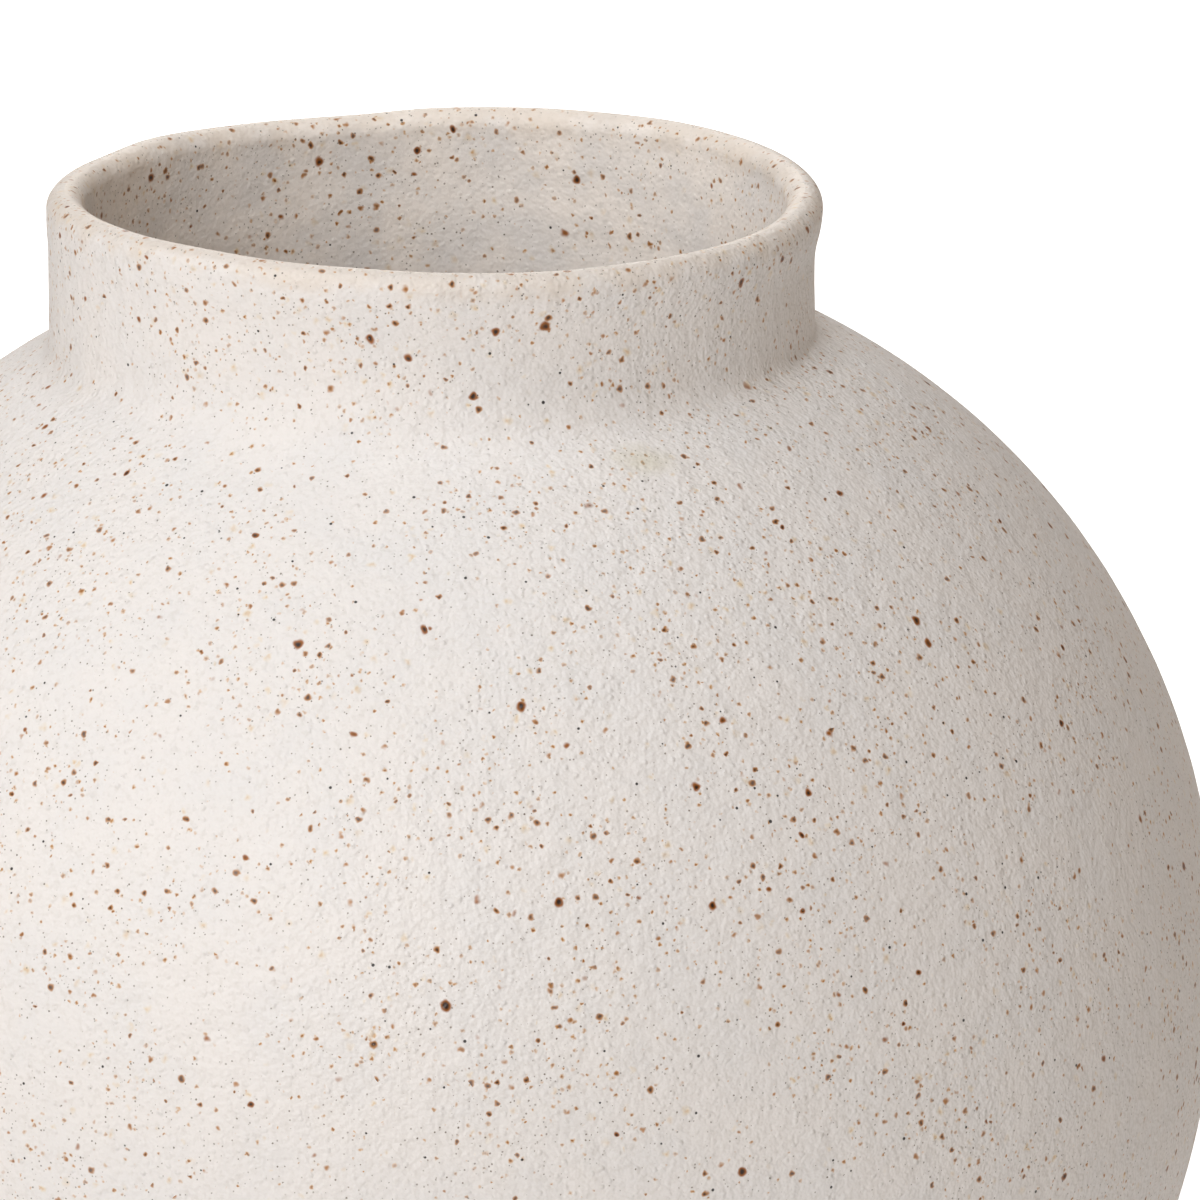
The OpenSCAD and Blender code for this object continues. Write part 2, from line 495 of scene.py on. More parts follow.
@dataclass(frozen=True)
class Hand:
    """What the potter's hand leaves on a thrown form, as one smooth bend of space that every piece shares.

    Because the pieces share it, they stay nested: no clay comes through its glaze. Angles are in radians,
    counterclockwise from +X, and -Y is the front.
    """

    form: PotForm
    drift: float = 2.2 * MM
    rim_wave: float = 0.65 * MM
    rim_ripple: float = 0.12 * MM
    rim_dent: float = 0.15 * MM
    dent_angle: float = -1.27
    rim_kink: float = 0.42 * MM
    kink_angle: float = 2.13
    flare_lean: float = 0.85 * MM
    flare_angle: float = -1.05
    fill_least: float = 0.85 * MM
    fill_lean: float = 0.5 * MM
    fill_front: float = 5.2 * MM
    even_fill: float = 0.62
    smear_reach: float = 8 * MM
    smear_depth: float = 4.5 * MM
    lump: float = 0.16 * MM
    lump_pitch: float = 26 * MM
    dimple: float = 0.045 * MM
    dimple_pitch: float = 8 * MM
    ring: float = 0.03 * MM
    ring_pitch: float = 6.4 * MM
    sway_pitch: float = 40 * MM

    def fill_width(self, angle: float) -> float:
        """How far from the corner the coil's clay was smeared, at an angle round the collar."""
        toward_front = max(0.0, -math.sin(angle))
        return self.fill_least - self.fill_lean * math.cos(angle) + self.fill_front * toward_front**2

    def _smear(self, out: float, height: float, angle: float) -> tuple[float, float]:
        """Changes the even fillet of the section to the smeared one.

        A fillet is a parabola laid in the corner, and only its half width changes round the collar.

        Args:
            out: A point's distance from the axis.
            height: Its height.
            angle: Its angle round the axis.

        Returns:
            The point's new distance and height.
        """
        corner, turn = self.form.corner, self.form.turn_centre
        way = (turn - corner).normalized()
        offset = Vector((out, height)) - corner
        across = abs(offset.x * way.y - offset.y * way.x)
        if across > self.smear_reach or offset.length > 2 * self.smear_reach:
            return out, height
        slope = way.y / way.x
        even = self.form.shoulder_turn * way.x * self.even_fill
        smeared = self.fill_width(angle)
        rise = sum(
            sign * 0.5 * slope * width * max(0.0, 1 - across / width) ** 2
            for sign, width in ((1, smeared), (-1, even))
        )
        rise *= ease(offset.dot(way), -self.smear_depth, -1 * MM)
        moved = Vector((out, height)) + way * rise
        return moved.x, moved.y

    def placed(self, point: Vector) -> Vector:
        """Where a point of the true form ends up.

        Args:
            point: The point, on the true form.

        Returns:
            The point, on the thrown form.
        """
        form = self.form
        angle = math.atan2(point.y, point.x)
        out, height = math.hypot(point.x, point.y), point.z
        out, height = self._smear(out, height, angle)

        # The collar was set down off centre, and it rides up or down the shoulder's curve as it goes.
        near = ease(height, form.belly_height + 20 * MM, form.corner.y - 6 * MM)
        near *= ease(out, form.collar_radius + 32 * MM, form.collar_radius + 3 * MM)
        x, y = out * math.cos(angle) - self.drift * near, out * math.sin(angle)
        slid = math.hypot(x, y)
        if near > 0:
            ride = above(form.upper_centre, form.shoulder_arc, slid).y
            ride -= above(form.upper_centre, form.shoulder_arc, out).y
            height += ride * ease(height, form.rim_height - 3 * MM, form.corner.y)

        # The rim is not level: it waves, is dented at the front and kinked at the back left, and it flares
        # more to one side.
        lift = ease(height, form.corner.y, form.rim_height - 3 * MM)
        if lift > 0:
            height += lift * self.rim_wave * math.sin(2 * angle)
            height += lift * self.rim_ripple * noise.noise(Vector((x, y, 0)) / (14 * MM))
            past_dent = angle - self.dent_angle
            height -= lift * self.rim_dent * ease(past_dent, -0.55, -0.05) * ease(past_dent, 0.26, 0.04)
            past_kink = angle - self.kink_angle
            height += lift * self.rim_kink * math.sin(5 * past_kink) * ease(abs(past_kink), 0.62, 0.35)
            lip = form.lip_centre.y
            lean = self.flare_lean * math.cos(angle - self.flare_angle)
            slid += lean * ease(height, lip - form.flare_height, lip)

        # Fingers leave shallow lumps, dimples and rings.
        spot = Vector((x, y, height))
        slid += self.lump * noise.noise(spot / self.lump_pitch)
        slid += self.dimple * noise.noise(spot / self.dimple_pitch)
        sway = noise.noise(spot / self.sway_pitch)
        turned = math.atan2(y, x)
        rings = math.sin(math.tau * height / self.ring_pitch + turned + 3 * sway)
        slid += self.ring * rings * (0.5 + 0.5 * sway)
        return Vector((slid * math.cos(turned), slid * math.sin(turned), height))

    def shape(self, mesh: Mesh) -> None:
        """Moves every point of a turned piece, and notes how far each was below the crest and above the foot.

        Args:
            mesh: The piece, on the true form.
        """
        under_crest = mesh.verts.layers.float.new("under_crest")
        above_line = mesh.verts.layers.float.new("above_line")
        for vert in mesh.verts:
            vert[under_crest] = self.form.rim_height - vert.co.z
            vert[above_line] = vert.co.z - self.form.glaze_line
            if math.hypot(vert.co.x, vert.co.y) > MM:
                vert.co = self.placed(vert.co)


# --------------------------------------------------------------------------------------------------
# Shader nodes
# --------------------------------------------------------------------------------------------------


class Board:
    """Lays out the nodes of one shader tree or group."""

    def __init__(self, tree: bpy.types.NodeTree) -> None:
        """Takes the tree that the nodes go in."""
        self.tree = tree

    def node(self, kind: str, **settings: object) -> bpy.types.Node:
        """Adds a node and sets its properties."""
        made = self.tree.nodes.new(kind)
        for name, value in settings.items():
            setattr(made, name, value)
        return made

    def feed(self, socket: Socket, value: object) -> None:
        """Links a socket to another, or sets its own value."""
        if isinstance(value, Socket):
            self.tree.links.new(value, socket)
        else:
            socket.default_value = value

    def math(self, operation: str, *values: Value) -> Socket:
        """Works out one sum.

        Args:
            operation: The Math node's operation.
            values: What it works on.

        Returns:
            The result.
        """
        made = self.node("ShaderNodeMath", operation=operation)
        for socket, value in zip(made.inputs, values):
            self.feed(socket, value)
        return made.outputs[0]

    def vector(self, operation: str, *values: Colour | Vector | tuple[float, ...]) -> Socket:
        """Works out one sum of vectors."""
        made = self.node("ShaderNodeVectorMath", operation=operation)
        for socket, value in zip(made.inputs, values):
            self.feed(socket, value)
        return made.outputs["Value" if operation == "LENGTH" else "Vector"]

    def times(self, *values: Value) -> Socket:
        """Multiplies two or more values."""
        result = values[0]
        for value in values[1:]:
            result = self.math("MULTIPLY", result, value)
        return result

    def rise(
        self, value: Value, low: Value, high: Value, start: float = 0.0, end: float = 1.0
    ) -> Socket:
        """Rises smoothly from start to end as a value goes from low to high.

        Args:
            value: What is looked at.
            low: Where the rise starts.
            high: Where it ends.
            start: The result up to low.
            end: The result from high.

        Returns:
            The result.
        """
        made = self.node("ShaderNodeMapRange", interpolation_type="SMOOTHSTEP")
        for name, given in (
            ("Value", value),
            ("From Min", low),
            ("From Max", high),
            ("To Min", start),
            ("To Max", end),
        ):
            self.feed(made.inputs[name], given)
        return made.outputs["Result"]

    def over(self, base: Colour, top: Colour, share: Value) -> Socket:
        """Lays one colour over another by a share."""
        made = self.node("ShaderNodeMix", data_type="RGBA", clamp_factor=True)
        self.feed(made.inputs["Factor"], share)
        self.feed(made.inputs["A"], base)
        self.feed(made.inputs["B"], top)
        return made.outputs["Result"]

    def clouds(
        self, where: Value, pitch: Value, detail: float = 2.0, output: str = "Fac"
    ) -> Socket:
        """Smooth noise.

        Args:
            where: The coordinates.
            pitch: How far apart the clouds are, in metres.
            detail: How many finer layers it has.
            output: Fac or Color.

        Returns:
            The noise, about 0.5.
        """
        made = self.node("ShaderNodeTexNoise")
        self.feed(made.inputs["Vector"], where)
        scale = 1 / pitch if isinstance(pitch, (int, float)) else self.math("DIVIDE", 1.0, pitch)
        self.feed(made.inputs["Scale"], scale)
        self.feed(made.inputs["Detail"], detail)
        return made.outputs[output]

    def patches(
        self,
        where: Value,
        pitch: float,
        detail: float,
        start: float,
        end: float,
        low: float = 0.3,
        high: float = 0.7,
    ) -> Socket:
        """Soft patches of noise.

        Args:
            where: The coordinates.
            pitch: How far apart the patches are, in metres.
            detail: How many finer layers they have.
            start: The result between the patches.
            end: The result on them.
            low: The noise at which a patch starts.
            high: The noise at which it is full.

        Returns:
            The result.
        """
        return self.rise(self.clouds(where, pitch, detail), low, high, start, end)

    def spot(self) -> Socket:
        """The piece's own coordinates, in metres."""
        return self.node("ShaderNodeTexCoord").outputs["Object"]

    def note(self, name: str) -> Socket:
        """A number noted on the piece's points."""
        return self.node("ShaderNodeAttribute", attribute_name=name).outputs["Fac"]


@dataclass(frozen=True)
class Effect:
    """A node group that several materials share, built the first time that it is used.

    Its inputs are numbers, with their defaults, and every group has a Vector input as well.
    """

    name: str
    inputs: dict[str, float]
    outputs: tuple[str, ...]

    def draw(self, board: Board, given: dict[str, Socket]) -> tuple[Value, ...]:
        """Lays out the group's nodes and returns one value for each output."""
        raise NotImplementedError

    def tree(self) -> bpy.types.NodeTree:
        """The group's node tree."""
        found = bpy.data.node_groups.get(self.name)
        if found:
            return found
        made = bpy.data.node_groups.new(self.name, "ShaderNodeTree")
        made.interface.new_socket("Vector", in_out="INPUT", socket_type="NodeSocketVector")
        for name, default in self.inputs.items():
            socket = made.interface.new_socket(name, in_out="INPUT", socket_type="NodeSocketFloat")
            socket.default_value = default
        for name in self.outputs:
            made.interface.new_socket(name, in_out="OUTPUT", socket_type="NodeSocketFloat")
        board = Board(made)
        source, sink = board.node("NodeGroupInput"), board.node("NodeGroupOutput")
        results = self.draw(board, {socket.name: socket for socket in source.outputs if socket.name})
        for name, result in zip(self.outputs, results):
            board.feed(sink.inputs[name], result)
        return made

    def on(self, board: Board, where: Value, **values: Value) -> dict[str, Socket]:
        """Places the group in a tree.

        Args:
            board: The tree.
            where: The coordinates that it reads.
            values: Its inputs by name, with _ for a space.

        Returns:
            Its outputs by name.
        """
        made = board.node("ShaderNodeGroup", node_tree=self.tree())
        board.feed(made.inputs["Vector"], where)
        for name, value in values.items():
            board.feed(made.inputs[name.replace("_", " ")], value)
        return {socket.name: socket for socket in made.outputs}


class Specks(Effect):
    """Ragged grains scattered through the body, cut by the surface where it meets them.

    Pitch and Radius are in metres, Share is how many places hold a grain, and Soft blurs its edge. It puts
    out the grain, its dark heart, and a number of its own for each grain.
    """

    def draw(self, board: Board, given: dict[str, Socket]) -> tuple[Value, ...]:
        """Finds the nearest grain, and how far inside it each point is."""
        where, radius = given["Vector"], given["Radius"]
        push = board.clouds(where, board.math("MULTIPLY", radius, 1.5), 0.0, "Color")
        push = board.vector("SUBTRACT", push, (0.5, 0.5, 0.5))
        push = board.vector("MULTIPLY", push, board.times(radius, given["Ragged"], 2.2))
        cells = board.node("ShaderNodeTexVoronoi")
        board.feed(cells.inputs["Vector"], board.vector("ADD", where, push))
        board.feed(cells.inputs["Scale"], board.math("DIVIDE", 1.0, given["Pitch"]))
        away = board.math("MULTIPLY", cells.outputs["Distance"], given["Pitch"])
        chance = board.node("ShaderNodeSeparateColor")
        board.feed(chance.inputs[0], cells.outputs["Color"])
        held = board.math("LESS_THAN", chance.outputs[0], given["Share"])
        size = board.math("MULTIPLY_ADD", chance.outputs[1], 0.5, 0.5)
        size = board.math("MULTIPLY", size, radius)
        blur = board.math("MULTIPLY", size, given["Soft"])
        grain = board.rise(away, board.math("ADD", size, blur), board.math("SUBTRACT", size, blur))
        heart = board.rise(away, board.math("MULTIPLY", size, 0.85), board.math("MULTIPLY", size, 0.25))
        return board.times(grain, held), board.times(heart, held), chance.outputs[2]


class Peel(Effect):
    """The skin of a stiff matt glaze, as a height in metres: a broad roll, a fine one, and small blisters.

    Pitch is how far apart the blisters are and Height is how high they stand, in metres.
    """

    def draw(self, board: Board, given: dict[str, Socket]) -> tuple[Value, ...]:
        """Adds the three together."""
        where, pitch = given["Vector"], given["Pitch"]
        broad = board.clouds(where, board.math("MULTIPLY", pitch, 2.6), 0.0)
        fine = board.clouds(where, board.math("MULTIPLY", pitch, 0.75), 1.0)
        cells = board.node("ShaderNodeTexVoronoi")
        board.feed(cells.inputs["Vector"], where)
        board.feed(cells.inputs["Scale"], board.math("DIVIDE", 1.0, pitch))
        chance = board.node("ShaderNodeSeparateColor")
        board.feed(chance.inputs[0], cells.outputs["Color"])
        blister = board.rise(cells.outputs["Distance"], 0.42, 0.05)
        blister = board.times(blister, board.rise(chance.outputs[0], 0.35, 1.0))
        total = board.math("MULTIPLY_ADD", broad, 2.2, blister)
        total = board.math("MULTIPLY_ADD", fine, 1.9, total)
        return (board.times(total, given["Height"]),)


SPECKS = Specks(
    "Body specks",
    {"Pitch": 3 * MM, "Radius": 0.4 * MM, "Share": 0.5, "Ragged": 0.5, "Soft": 0.3},
    ("Grain", "Heart", "Tint"),
)
PEEL = Peel("Orange peel", {"Pitch": 1.3 * MM, "Height": 0.03 * MM}, ("Height",))


# --------------------------------------------------------------------------------------------------
# Finishes
# --------------------------------------------------------------------------------------------------


def blank(name: str) -> tuple[Material, Board, bpy.types.Node]:
    """Starts a material.

    Args:
        name: Its name.

    Returns:
        The material, its board, and its Principled BSDF.
    """
    material = bpy.data.materials.new(name)
    material.use_nodes = True
    board = Board(material.node_tree)
    shader = material.node_tree.nodes["Principled BSDF"]
    return material, board, shader


def relief(board: Board, shader: bpy.types.Node, height: Value) -> None:
    """Turns a height in metres into the shader's normal."""
    bump = board.node("ShaderNodeBump")
    board.feed(bump.inputs["Strength"], 1.0)
    board.feed(bump.inputs["Distance"], 1.0)
    board.feed(bump.inputs["Height"], height)
    board.feed(shader.inputs["Normal"], bump.outputs["Normal"])


@dataclass(frozen=True)
class Scatter:
    """One size of grain in the glaze, and how it is coloured."""

    pitch: float
    radius: float
    share: float
    edge_colour: Rgba
    heart_colour: Rgba
    strength: float = 1.0
    fading: float = 0.5
    ragged: float = 0.5
    soft: float = 0.3
    crowding: float = 1.0


@dataclass(frozen=True)
class SpeckledGlaze:
    """Matt white glaze over an iron-speckled body."""

    slot: Slot
    white: Rgba = srgb(234, 230, 227)
    cool: Rgba = srgb(229, 227, 226)
    toast: Rgba = srgb(222, 208, 192)
    mark: Rgba = srgb(200, 192, 158)
    fleck: Rgba = srgb(214, 209, 203)
    pit: Rgba = srgb(34, 31, 30)
    cloud_pitch: float = 9 * MM
    fleck_pitch: float = 0.8 * MM
    crowd_pitch: float = 17 * MM
    toast_depth: float = 3.4 * MM
    pit_depth: float = 0.07 * MM
    skin: float = 0.125 * MM
    mark_place: Vector | None = None
    scatters: tuple[Scatter, ...] = (
        # Faint tan blooms, where a grain lies deep.
        Scatter(2.5 * MM, 0.5 * MM, 0.62, srgb(226, 206, 172), srgb(214, 178, 126), 0.75, 0.5, 0.7, 0.7),
        # Small rust grains.
        Scatter(1.3 * MM, 0.29 * MM, 0.7, srgb(202, 154, 96), srgb(140, 84, 34), 1.0, 0.45, 0.6, 0.45, 1.2),
        # Rust grains with brown hearts.
        Scatter(2.3 * MM, 0.46 * MM, 0.6, srgb(178, 120, 58), srgb(74, 38, 10), 1.0, 0.15, 0.5, 0.35, 1.2),
        # Large iron spots.
        Scatter(5.6 * MM, 0.68 * MM, 0.6, srgb(156, 92, 30), srgb(42, 19, 5), 1.0, 0.0, 0.4, 0.3, 0.6),
        # A dust of grey-brown pins.
        Scatter(0.72 * MM, 0.13 * MM, 0.75, srgb(136, 124, 112), srgb(78, 66, 56), 1.0, 0.45, 0.4, 0.5, 0.7),
    )

    def _colour(self, board: Board, spot: Value) -> tuple[Value, Value]:
        """Lays the glaze, its thin places and its grains over one another.

        Args:
            board: The material's tree.
            spot: The piece's coordinates.

        Returns:
            The colour, and how much of it is a grain.
        """
        colour = board.over(self.white, self.cool, board.patches(spot, self.cloud_pitch, 3.0, 0.0, 0.6, 0.35))
        flecks = board.patches(spot, self.fleck_pitch, 2.0, 0.0, 0.35, 0.5, 0.72)
        colour = board.over(colour, self.fleck, flecks)

        # The glaze runs thin over the lip, and the body toasts there.
        wander = board.patches(spot, 5 * MM, 3.0, -1.2 * MM, 1.2 * MM)
        under = board.math("ADD", board.note("under_crest"), wander)
        thin = board.rise(under, self.toast_depth, 0.2 * MM, 0.0, 0.5)
        colour = board.over(colour, self.toast, thin)

        grains: Value = 0.0
        # Grains crowd in drifts, and under the lip.
        crowd = board.patches(spot, self.crowd_pitch, 1.0, -0.6, 0.6)
        crowd = board.math("ADD", crowd, board.rise(under, 12 * MM, 3 * MM, 0.0, 0.9))
        for number, scatter in enumerate(self.scatters):
            found = SPECKS.on(
                board,
                board.vector("ADD", spot, (0.31 * (number + 1), 0.17 * (number + 1), 0.23)),
                Pitch=scatter.pitch,
                Radius=scatter.radius,
                Share=board.math("MULTIPLY_ADD", crowd, scatter.crowding * scatter.share, scatter.share),
                Ragged=scatter.ragged,
                Soft=scatter.soft,
            )
            faint = board.math("MULTIPLY_ADD", found["Tint"], -scatter.fading, scatter.strength)
            paint = board.over(scatter.edge_colour, scatter.heart_colour, found["Heart"])
            cover = board.times(found["Grain"], faint)
            colour = board.over(colour, paint, cover)
            grains = board.math("MAXIMUM", grains, cover)
        return colour, grains

    def material(self) -> Material:
        """Builds the finish."""
        material, board, shader = blank(self.slot.value)
        spot = board.spot()
        colour, grains = self._colour(board, spot)

        pits = SPECKS.on(board, spot, Pitch=2.4 * MM, Radius=0.22 * MM, Share=0.42, Ragged=0.1, Soft=0.2)
        colour = board.over(colour, self.pit, board.times(pits["Grain"], 0.95))
        if self.mark_place:
            colour = self._marked(board, spot, colour)
        board.feed(shader.inputs["Base Color"], colour)

        rough = board.patches(spot, 4 * MM, 2.0, 0.5, 0.6)
        board.feed(shader.inputs["Roughness"], board.math("MULTIPLY_ADD", grains, -0.12, rough))
        height = PEEL.on(board, spot, Pitch=1.1 * MM, Height=self.skin)["Height"]
        height = board.math("SUBTRACT", height, board.times(pits["Grain"], self.pit_depth))
        relief(board, shader, height)
        return material

    def _marked(self, board: Board, spot: Value, colour: Value) -> Value:
        """Adds the faint smudge of ash on the shoulder."""
        offset = board.vector("SUBTRACT", spot, self.mark_place)
        length = board.vector("LENGTH", board.vector("MULTIPLY", offset, (0.55, 1.0, 1.2)))
        away = board.math("MULTIPLY_ADD", board.clouds(spot, 2.2 * MM, 3.0), 3 * MM, length)
        return board.over(colour, self.mark, board.rise(away, 5.6 * MM, 1.2 * MM, 0.0, 0.4))


@dataclass(frozen=True)
class BareClay:
    """Fired speckled stoneware with no glaze."""

    buff: Rgba = srgb(203, 172, 136)
    toast: Rgba = srgb(168, 118, 76)
    sand: Rgba = srgb(222, 199, 168)
    iron: Rgba = srgb(72, 40, 24)

    def material(self) -> Material:
        """Builds the finish."""
        material, board, shader = blank(Slot.CLAY.value)
        spot = board.spot()
        fired = board.patches(spot, 14 * MM, 4.0, 0.0, 0.55, 0.4, 0.75)
        colour = board.over(self.buff, self.toast, fired)
        # The body flashes where the glaze stops.
        flash = board.math("ADD", board.note("above_line"), board.patches(spot, 4 * MM, 3.0, -MM, MM))
        colour = board.over(colour, self.toast, board.rise(flash, -3.5 * MM, -0.3 * MM, 0.0, 0.7))
        grog = SPECKS.on(board, spot, Pitch=0.8 * MM, Radius=0.2 * MM, Share=0.6, Ragged=0.8, Soft=0.3)
        colour = board.over(colour, self.sand, board.times(grog["Grain"], 0.5))
        iron = SPECKS.on(board, spot, Pitch=1.7 * MM, Radius=0.36 * MM, Share=0.65, Ragged=0.7, Soft=0.3)
        colour = board.over(colour, self.iron, board.times(iron["Grain"], 0.85))
        board.feed(shader.inputs["Base Color"], colour)
        board.feed(shader.inputs["Roughness"], board.patches(spot, 3 * MM, 3.0, 0.78, 0.92))
        height = PEEL.on(board, spot, Pitch=0.7 * MM, Height=0.02 * MM)["Height"]
        height = board.math("ADD", height, board.times(grog["Grain"], 0.03 * MM))
        relief(board, shader, height)
        return material


@dataclass(frozen=True)
class PressedFelt:
    """Pressed wool felt."""

    wool: Rgba = srgb(92, 86, 80)
    pale: Rgba = srgb(148, 140, 130)

    def material(self) -> Material:
        """Builds the finish."""
        material, board, shader = blank(Slot.FELT.value)
        spot = board.spot()
        tuft = board.clouds(spot, 1.1 * MM, 4.0)
        fibre = board.clouds(board.vector("MULTIPLY", spot, (1.0, 1.0, 5.0)), 0.22 * MM, 3.0)
        colour = board.over(self.wool, self.pale, board.rise(fibre, 0.5, 0.75, 0.0, 0.7))
        board.feed(shader.inputs["Base Color"], colour)
        board.feed(shader.inputs["Roughness"], board.rise(tuft, 0.3, 0.7, 0.88, 1.0))
        shader.inputs["Sheen Weight"].default_value = 0.35
        relief(board, shader, board.math("ADD", board.times(tuft, 0.12 * MM), board.times(fibre, 0.08 * MM)))
        return material


# --------------------------------------------------------------------------------------------------
# Pieces
# --------------------------------------------------------------------------------------------------


def finished(
    mesh: Mesh, name: str, node: str, material: Material
) -> Object:
    """Makes a shaped mesh a piece of the vase, in place of its CAD node.

    Args:
        mesh: The shape. It is freed.
        name: The piece's name.
        node: The CAD node that it stands for.
        material: Its finish.

    Returns:
        The piece.
    """
    crease = math.radians(38)
    for edge in mesh.edges:
        edge.smooth = edge.calc_face_angle(0.0) < crease
    for face in mesh.faces:
        face.smooth = True
    data = bpy.data.meshes.new(name)
    mesh.to_mesh(data)
    mesh.free()
    data.materials.append(material)
    piece = bpy.data.objects.new(name, data)
    bpy.context.scene.collection.objects.link(piece)
    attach(piece, ROOT)
    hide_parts(node)
    LOG.info("%s: %d faces", name, len(data.polygons))
    return piece


@dataclass(frozen=True)
class Thrown:
    """Pieces turned from a section, and bent by the hand that they share."""

    form: PotForm
    hand: Hand
    segments: int = field(default=296, kw_only=True)

    def thrown(
        self,
        strokes: list[Stroke],
        name: str,
        node: str,
        slot: Slot,
        material: Material,
        pare: Callable[[Mesh], None] | None = None,
    ) -> Object:
        """Turns a section into a finished piece.

        Args:
            strokes: The section.
            name: The piece's name.
            node: The CAD node that it stands for.
            slot: The record's slot. It is not used.
            material: Its finish.
            pare: What is done to the true form first, if anything.

        Returns:
            The piece.
        """
        mesh = SectionPen(strokes).turned(self.segments)
        if pare:
            pare(mesh)
        self.hand.shape(mesh)
        return finished(mesh, name, node, material)


@dataclass(frozen=True)
class Globe(Thrown):
    """The two thrown bowls, lapped at the belly."""

    clay: Material

    def _lap(self) -> tuple[Vector, Vector, Vector, Vector]:
        """The lap's step: the bare outside, its foot and its head in mid wall, and the bare inside."""
        form = self.form
        middle, rise = form.belly_radius - form.wall / 2, form.lap_height - form.belly_height
        inner = form.upper_centre.x + math.sqrt(form.bare_inside**2 - rise**2)
        return (
            Vector((form.belly_radius - form.glaze, form.belly_height)),
            Vector((middle, form.belly_height)),
            Vector((middle, form.lap_height)),
            Vector((inner, form.lap_height)),
        )

    def _under_floor(self) -> list[Stroke]:
        """The underside, from the middle out over the foot ring's groove."""
        form = self.form
        low, high = form.foot_height, form.foot_height + form.tenon_height
        middle = form.foot_radius - form.foot_width / 2
        near, far = middle - form.tenon_width / 2, middle + form.tenon_width / 2
        return chain(
            Vector((0, low)),
            *straight(Texture.BODY, (near, low)),
            *straight(Texture.HIDDEN, (near, high), (far, high), (far, low)),
            *straight(Texture.HIDDEN, form.lower_point(low, form.glaze)),
        )

    def lower_bowl(self) -> Object:
        """Throws the lower bowl, with its floor."""
        form, glaze = self.form, self.form.glaze
        bottom = self._under_floor()
        belly_out, lap_low, lap_high, top = self._lap()
        belly = Vector((form.belly_radius - form.wall + glaze, form.belly_height))
        inner = [s for s in form.inside(glaze) if s.end.y < form.belly_height - MM]
        bare_end = form.lower_point(form.glaze_line + 2 * MM, glaze)
        strokes = [
            *bottom,
            *chain(
                bottom[-1].end,
                (form.lower_centre, bare_end, Texture.CREASE),
                (form.lower_centre, belly_out, Texture.HIDDEN),
                *straight(Texture.HIDDEN, lap_low, lap_high, top),
                (form.upper_centre, belly, Texture.HIDDEN),
            ),
            *(Stroke(s.start, s.end, s.centre, Texture.HIDDEN) for s in inner),
        ]
        return self.thrown(strokes, "thrown_lower_bowl", "lower_bowl", Slot.CLAY, self.clay, self._pare)

    def _pare(self, mesh: Mesh) -> None:
        """Leaves the turning tool's spiral under the floor."""
        pitch, depth = 3.2 * MM, 0.12 * MM
        edge = self.form.foot_radius - self.form.foot_width
        for vert in mesh.verts:
            out = math.hypot(vert.co.x, vert.co.y)
            if abs(vert.co.z - self.form.foot_height) < 0.01 * MM and out < edge:
                spiral = math.sin(math.tau * out / pitch + math.atan2(vert.co.y, vert.co.x))
                vert.co.z += depth * (1 + spiral) * ease(out, edge, edge - 4 * MM)

    def upper_bowl(self) -> Object:
        """Throws the upper bowl, with its rebate for the collar and its bed for the coil."""
        form, glaze = self.form, self.form.glaze
        radius = form.shoulder_arc - glaze
        bed_low = Collar.bed(form)[0]
        bed_out = meeting(form.upper_centre, radius, form.coil_centre, form.coil_radius)
        seat = form.corner.y - form.seat_depth
        throat, bore = form.throat_centre, form.bore_radius + glaze
        throat_top = around(form.upper_centre, form.bare_inside, heading(form.upper_centre, throat))
        belly_out, lap_low, lap_high, lap_inside = self._lap()
        strokes = chain(
            belly_out,
            (form.upper_centre, bed_out, Texture.HIDDEN),
            (form.coil_centre, bed_low, Texture.COLLAR),
            *straight(Texture.COLLAR, (bed_low.x, seat), (bore, seat), (bore, throat.y)),
            (throat, throat_top, Texture.COLLAR),
            (form.upper_centre, lap_inside, Texture.HIDDEN),
            *straight(Texture.HIDDEN, lap_high, lap_low, belly_out),
        )
        return self.thrown(strokes, "thrown_upper_bowl", "upper_bowl", Slot.CLAY, self.clay)


